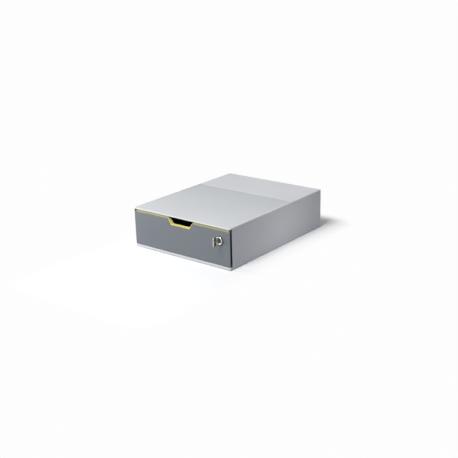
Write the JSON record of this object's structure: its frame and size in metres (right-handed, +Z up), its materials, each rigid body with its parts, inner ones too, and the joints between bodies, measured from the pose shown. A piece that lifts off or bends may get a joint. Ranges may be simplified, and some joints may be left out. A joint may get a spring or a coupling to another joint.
{
  "type": "desktop file drawer",
  "caption": "Flat desktop file box with a single lockable drawer, a finger notch lined in a bright trim, a cam lock and its key.",
  "frame": {"origin": "centre of the whole object's footprint, key included, on the surface its feet stand on", "axes": "+Z up, +X to the right seen from the front, the drawer opens towards -Y"},
  "size_m": [0.28, 0.3772, 0.095],
  "materials": {
    "housing_plastic": "light grey moulded plastic, finely textured",
    "front_plastic": "mid grey moulded plastic, finely textured",
    "tray_plastic": "dark grey moulded plastic",
    "trim_plastic": "yellow moulded plastic, satin",
    "runner_plastic": "dark grey slippery plastic",
    "foot_rubber": "black rubber",
    "lock_nickel": "polished nickel plate on die-cast zinc",
    "plug_nickel": "satin nickel plate",
    "wafer_brass": "plain brass sheet",
    "zinc_steel": "zinc-plated steel sheet",
    "screw_steel": "zinc-plated steel",
    "key_nickel": "nickel-plated key"
  },
  "bodies": {
    "housing": {"housing_cover": "housing_plastic", "base_plate": "housing_plastic", "back_panel": "housing_plastic", "runner_left": "runner_plastic", "runner_right": "runner_plastic", "foot_front_left": "foot_rubber", "foot_front_right": "foot_rubber", "foot_back_left": "foot_rubber", "foot_back_right": "foot_rubber", "lock_keeper": "zinc_steel", "base_screws": "screw_steel", "back_screws": "screw_steel", "runner_screws": "screw_steel", "keeper_screws": "screw_steel"},
    "drawer": {"drawer_tray": "tray_plastic", "drawer_front": "front_plastic", "colour_trim": "trim_plastic", "front_screws": "screw_steel", "lock_body": "lock_nickel", "lock_washer": "lock_nickel", "lock_nut": "lock_nickel"},
    "lock_core": {"lock_plug": "plug_nickel", "plug_wafers": "wafer_brass", "lock_cam": "zinc_steel", "cam_washer": "zinc_steel", "cam_screw": "screw_steel"},
    "key": {"key": "key_nickel"}
  },
  "joints": [
    {"name": "drawer_slide", "type": "slide", "parent": "housing", "child": "drawer", "axis": [0, -1, 0], "range_m": [0, 0.255]},
    {"name": "lock_turn", "type": "hinge", "parent": "drawer", "child": "lock_core", "pos_m": [0.112, -0.1574, 0.0641], "axis": [0, 1, 0], "range_deg": [0, 90]},
    {"name": "key_pull", "type": "slide", "parent": "lock_core", "child": "key", "axis": [0, -1, 0], "range_m": [0, 0.03]}
  ]
}
